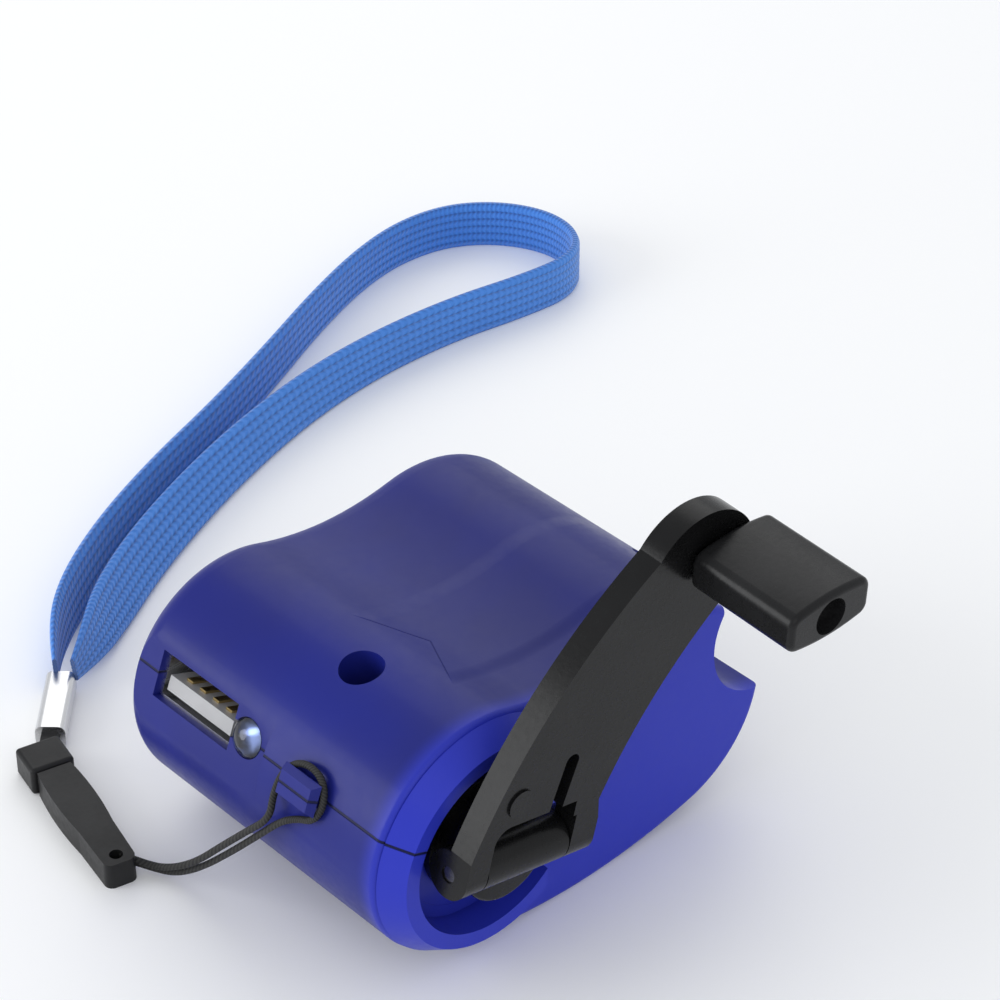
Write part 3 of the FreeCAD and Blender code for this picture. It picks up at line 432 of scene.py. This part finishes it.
def makeStrap(material):
    route = []
    for x, y, lean, gather in strapRoute:
        turn = math.radians(abs(lean))
        middle = (strapSet["width"] * math.cos(turn) + strapSet["thickness"] * math.sin(turn)) / 2
        route.append(place(x, y, middle - tableDrop))
    curve = splineObject("strapLine", route, [p[2] for p in strapRoute], [p[3] for p in strapRoute])
    path = linePoints(curve)
    section = bpy.data.curves.new("strapSection", "CURVE")
    outline = section.splines.new("POLY")
    points = strapSection()
    outline.points.add(len(points) - 1)
    for point, spot in zip(outline.points, points):
        point.co = (spot[0], spot[1], 0, 1)
    outline.use_cyclic_u = True
    sectionObject = bpy.data.objects.new("strapSection", section)
    scene.collection.objects.link(sectionObject)
    curve.data.twist_mode = "Z_UP"
    curve.data.bevel_mode = "OBJECT"
    curve.data.bevel_object = sectionObject
    curve.data.use_fill_caps = True
    strap = keepMesh(curve, "wovenStrap")
    bpy.data.objects.remove(sectionObject)
    strap.data.materials.append(material)
    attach(strap, "case")
    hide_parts("wrist_strap")


def saw(nodes, links, value):
    # how far a value is from the middle of its whole step
    part = work(nodes, links, "FRACT", value)
    return work(nodes, links, "ABSOLUTE", work(nodes, links, "SUBTRACT", part, 0.5))


def wovenBlue():
    # knitted ribs: along the band by V, with small chevron stitches by U
    material, nodes, links, shader = newMaterial("wovenBlue")
    coords = nodes.new("ShaderNodeTexCoord")
    split = nodes.new("ShaderNodeSeparateXYZ")
    links.new(coords.outputs["UV"], split.inputs["Vector"])
    rib = saw(nodes, links, work(nodes, links, "MULTIPLY", split.outputs["Y"], 2.0 * strapSet["ribs"]))
    crown = work(nodes, links, "SUBTRACT", 1.0, work(nodes, links, "MULTIPLY", rib, 2.0))
    stitch = work(nodes, links, "MULTIPLY", split.outputs["X"], float(strapSet["stitches"]))
    stitch = work(nodes, links, "ADD", stitch, work(nodes, links, "MULTIPLY", rib, strapSet["chevron"]))
    thread = work(nodes, links, "MULTIPLY", saw(nodes, links, stitch), 2.0)
    height = work(nodes, links, "ADD", work(nodes, links, "POWER", crown, strapSet["ribShape"]),
                  work(nodes, links, "MULTIPLY", thread, strapSet["threadHeight"]))
    # painted shade: the band is painted darker in the rib valleys and between stitches and lighter on the
    # crowns, following the same height that drives the bump
    tone = ramp(nodes, links, height, [(0.15, strapSet["dark"]), (1.0, strapSet["light"])])
    worn = noise(nodes, links, objectSpace(nodes, links), strapSet["wearScale"], 3)
    worn = spread(nodes, links, worn, 0.0, strapSet["wear"])
    links.new(blend(nodes, links, worn, tone, strapSet["worn"]), shader.inputs["Base Color"])
    shader.inputs["Roughness"].default_value = strapSet["roughness"]
    shader.inputs["Sheen Weight"].default_value = strapSet["sheen"]
    bump(nodes, links, height, shader, *strapSet["bump"])
    return material


# string, from the clip up to the lug and back

stringSet = {
    "diameter": 0.8, "reach": 15.35, "dark": (0.004, 0.004, 0.004), "light": (0.022, 0.022, 0.020),
    "braid": (90, 2, 1), "roughness": 0.7, "bump": (0.6, 0.0001),
}
stringStart = [(-20.6, 39.2, -15.4), (-18.9, 36.9, -16.2), (-17.7, 34.0, -15.8), (-17.2, 29.6, -12.2),
               (-16.9, 24.6, -6.9), (-16.5, 20.4, -2.2)]
stringLoop = [(16.4, -4.6, 0.5), (14.6, -3.4, 0.0), (12.5, -2.6, 0.0), (11.6, -0.4, 0.0), (12.4, 2.1, 0.0),
              (14.6, 2.9, 0.0), (17.0, 2.2, 0.0), (18.6, 0.0, 0.0), (18.7, -2.6, 0.3), (17.7, -5.0, 0.9)]
stringReturn = [(-17.1, 21.4, -1.8), (-17.5, 25.4, -6.2), (-17.9, 30.2, -11.6), (-18.6, 34.6, -14.9),
                (-19.7, 37.4, -15.3), (-21.3, 39.7, -14.4)]


def makeString(material):
    route = [place(*p) for p in stringStart]
    for y, s, d in stringLoop:
        out = outOfPort * (stringSet["reach"] + d) * 0.001
        route.append(place(0, y, 0) + out + acrossPort * (partingRise + s) * 0.001)
    route += [place(*p) for p in stringReturn]
    curve = splineObject("stringLine", route)
    path = linePoints(curve)
    curve.data.bevel_depth = stringSet["diameter"] / 2000
    curve.data.bevel_resolution = 4
    curve.data.use_fill_caps = True
    string = keepMesh(curve, "braidedString")
    string.data.materials.append(material)
    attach(string, "case")
    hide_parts("lanyard_string")


def braidedBlack():
    material, nodes, links, shader = newMaterial("braidedBlack")
    coords = nodes.new("ShaderNodeTexCoord")
    mapping = nodes.new("ShaderNodeMapping")
    mapping.inputs["Scale"].default_value = stringSet["braid"]
    links.new(coords.outputs["UV"], mapping.inputs["Vector"])
    checker = nodes.new("ShaderNodeTexWave")
    checker.bands_direction = "DIAGONAL"
    checker.inputs["Scale"].default_value = 1.0
    links.new(mapping.outputs["Vector"], checker.inputs["Vector"])
    # painted shade: the braid is painted lighter on the raised strands and darker in the grooves between
    # them, following the same bands that drive the bump
    tone = ramp(nodes, links, checker.outputs["Fac"], [(0.2, stringSet["dark"]), (0.9, stringSet["light"])])
    links.new(tone, shader.inputs["Base Color"])
    shader.inputs["Roughness"].default_value = stringSet["roughness"]
    bump(nodes, links, checker.outputs["Fac"], shader, *stringSet["bump"])
    return material


# pieces copied from the frame and reworked

# the hub's rings are cut away outside their inner radius, from one depth to another
hubSet = {"bossRadius": 5.9, "bossFront": -2.0, "bossBack": 1.2, "bossRound": 0.45,
          "rings": [(5.9, 0.36, 2.7), (7.2, 2.6, 3.7)], "ringReach": 10.0, "segments": 128, "sharpFrom": 35}
recessSet = {"radius": 11.0, "floor": 3.85, "end": 8.1, "sharpFrom": 25}
portSet = {"setback": 1.0, "faceFrom": 13.6, "tongueDrop": 2.3, "tongueOut": 0.5, "contactDrop": 0.15}
weldDistance = 0.000002
copySharpFrom = 30


def frameCopy(node, name):
    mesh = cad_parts[node].data.copy()
    mesh.name = name
    piece = bpy.data.objects.new(name, mesh)
    scene.collection.objects.link(piece)
    return piece


def tidyMesh(piece, edgeAngle):
    form = bmesh.new()
    form.from_mesh(piece.data)
    bmesh.ops.remove_doubles(form, verts=form.verts, dist=weldDistance)
    bmesh.ops.recalc_face_normals(form, faces=form.faces)
    for face in form.faces:
        face.smooth = True
    for edge in form.edges:
        edge.smooth = edge.calc_face_angle(0.0) < math.radians(edgeAngle)
    form.to_mesh(piece.data)
    form.free()


def roundBar(name, radius, start, end, rim):
    # a bar on the crank's axis, its front rim rounded
    form = bmesh.new()
    bmesh.ops.create_cone(form, cap_ends=True, cap_tris=False, segments=hubSet["segments"],
                          radius1=radius / 1000, radius2=radius / 1000, depth=(end - start) / 1000)
    turn = Matrix.Translation(place(0, (start + end) / 2, 0)) @ Matrix.Rotation(math.radians(90), 4, "X")
    bmesh.ops.transform(form, matrix=turn, verts=form.verts)
    if rim:
        front = min(v.co.y for v in form.verts) + 0.00001
        edges = [e for e in form.edges if all(v.co.y < front for v in e.verts)]
        bmesh.ops.bevel(form, geom=edges, offset=rim / 1000, affect="EDGES", segments=4, profile=0.5,
                        material=-1)
    mesh = bpy.data.meshes.new(name)
    form.to_mesh(mesh)
    form.free()
    bar = bpy.data.objects.new(name, mesh)
    scene.collection.objects.link(bar)
    return bar


def combine(piece, tool, operation):
    modifier = piece.modifiers.new(operation.lower(), "BOOLEAN")
    modifier.operation = operation
    modifier.solver = "EXACT"
    modifier.object = tool
    bpy.context.view_layer.update()
    mesh = bpy.data.meshes.new_from_object(piece.evaluated_get(bpy.context.evaluated_depsgraph_get()))
    piece.modifiers.clear()
    piece.data = mesh
    bpy.data.objects.remove(tool)


def makeHub(material):
    hub = frameCopy("crank_hub", "hubBoss")
    tidyMesh(hub, copySharpFrom)
    for inner, start, end in hubSet["rings"]:
        ring = roundBar("ring", hubSet["ringReach"], start, end, 0)
        combine(ring, roundBar("core", inner, start - 1, end + 1, 0), "DIFFERENCE")
        combine(hub, ring, "DIFFERENCE")
    boss = roundBar("boss", hubSet["bossRadius"], hubSet["bossFront"], hubSet["bossBack"],
                    hubSet["bossRound"])
    combine(hub, boss, "UNION")
    tidyMesh(hub, hubSet["sharpFrom"])
    hub.data.materials.clear()
    hub.data.materials.append(material)
    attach(hub, "crank")
    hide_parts("crank_hub")


def makeRecess(materials):
    # the round recess behind the collar, as wide as the photo shows it, with a straight end to the rear
    for node, name in (("upper_shell", "upperCase"), ("lower_shell", "lowerCase")):
        shell = frameCopy(node, name)
        tidyMesh(shell, recessSet["sharpFrom"])
        cutter = roundBar("recess", recessSet["radius"], -1, recessSet["floor"], 0)
        form = bmesh.new()
        form.from_mesh(cutter.data)
        everything = form.verts[:] + form.edges[:] + form.faces[:]
        rear = bmesh.ops.bisect_plane(form, geom=everything, plane_co=place(recessSet["end"], 0, 0),
                                      plane_no=(1, 0, 0), clear_outer=True)
        bmesh.ops.holes_fill(form, edges=[e for e in rear["geom_cut"] if isinstance(e, bmesh.types.BMEdge)])
        form.to_mesh(cutter.data)
        form.free()
        combine(shell, cutter, "DIFFERENCE")
        tidyMesh(shell, recessSet["sharpFrom"])
        shell.modifiers.new("normals", "WEIGHTED_NORMAL").keep_sharp = True
        shell.data.materials.clear()
        shell.data.materials.append(materials["caseBlue"])
        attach(shell, "case")
        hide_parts(node)


def shiftedCopy(node, name, material, out, across=0, start=-math.inf):
    # what lies further out of the case than start is moved by out and across
    piece = frameCopy(node, name)
    tidyMesh(piece, copySharpFrom)
    for vertex in piece.data.vertices:
        if (vertex.co - place(0, 0, 0)).dot(outOfPort) * 1000 > start:
            vertex.co += outOfPort * out * 0.001 + acrossPort * across * 0.001
    piece.data.materials.clear()
    piece.data.materials.append(material)
    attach(piece, "case")
    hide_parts(node)


def makePort(materials):
    shiftedCopy("usb_shell", "portShell", materials["steel"], -portSet["setback"], start=portSet["faceFrom"])
    out = portSet["tongueOut"]
    shiftedCopy("usb_tongue", "portTongue", materials["tongueWhite"], out, -portSet["tongueDrop"])
    shiftedCopy("usb_contacts", "portContacts", materials["brass"], out, -portSet["contactDrop"])


floorSet = {"size": 6, "color": (0.97, 0.97, 0.97, 1), "roughness": 0.6}


def makeFloor():
    bpy.ops.mesh.primitive_plane_add(size=floorSet["size"], location=(0, 0, 0))
    floor = bpy.context.object
    floor.name = "floor"
    material, nodes, links, shader = newMaterial("paper")
    shader.inputs["Base Color"].default_value = floorSet["color"]
    shader.inputs["Roughness"].default_value = floorSet["roughness"]
    floor.data.materials.append(material)


makeCamera()
makeLights()
makeFloor()
print("camera and light made")

finishes = {
    "caseBlue": frostedBlue(),
    "armBlack": satinBlack("armBlack", (0.20, 0.32), 0.004),
    "knobBlack": satinBlack("knobBlack", (0.2, 0.36), 0.008),
    "clipBlack": satinBlack("clipBlack", (0.3, 0.5), 0.010),
    "partBlack": satinBlack("partBlack"),
    "steel": metal("brightSteel", (0.75, 0.75, 0.76)),
    "darkSteel": metal("darkSteel", (0.10, 0.10, 0.11)),
    "plateSteel": metal("plateSteel", (0.62, 0.62, 0.62), (0.3, 0.45)),
    "brass": metal("turnedBrass", (0.78, 0.58, 0.26)),
    "nylon": moulded("naturalNylon", (0.84, 0.82, 0.76)),
    "tongueWhite": moulded("tongueWhite", (0.42, 0.42, 0.43)),
    "clearLamp": clearLamp(),
    "boardGreen": moulded("boardGreen", (0.03, 0.20, 0.08)),
    "sleeveBlue": moulded("sleeveBlue", (0.02, 0.03, 0.10)),
}
finish(finishes)
print("finishes given to the frame's pieces")

makeStrap(wovenBlue())
makeString(braidedBlack())
print("strap and string made")

makeHub(finishes["armBlack"])
makeRecess(finishes)
makePort(finishes)
print("hub and port made")
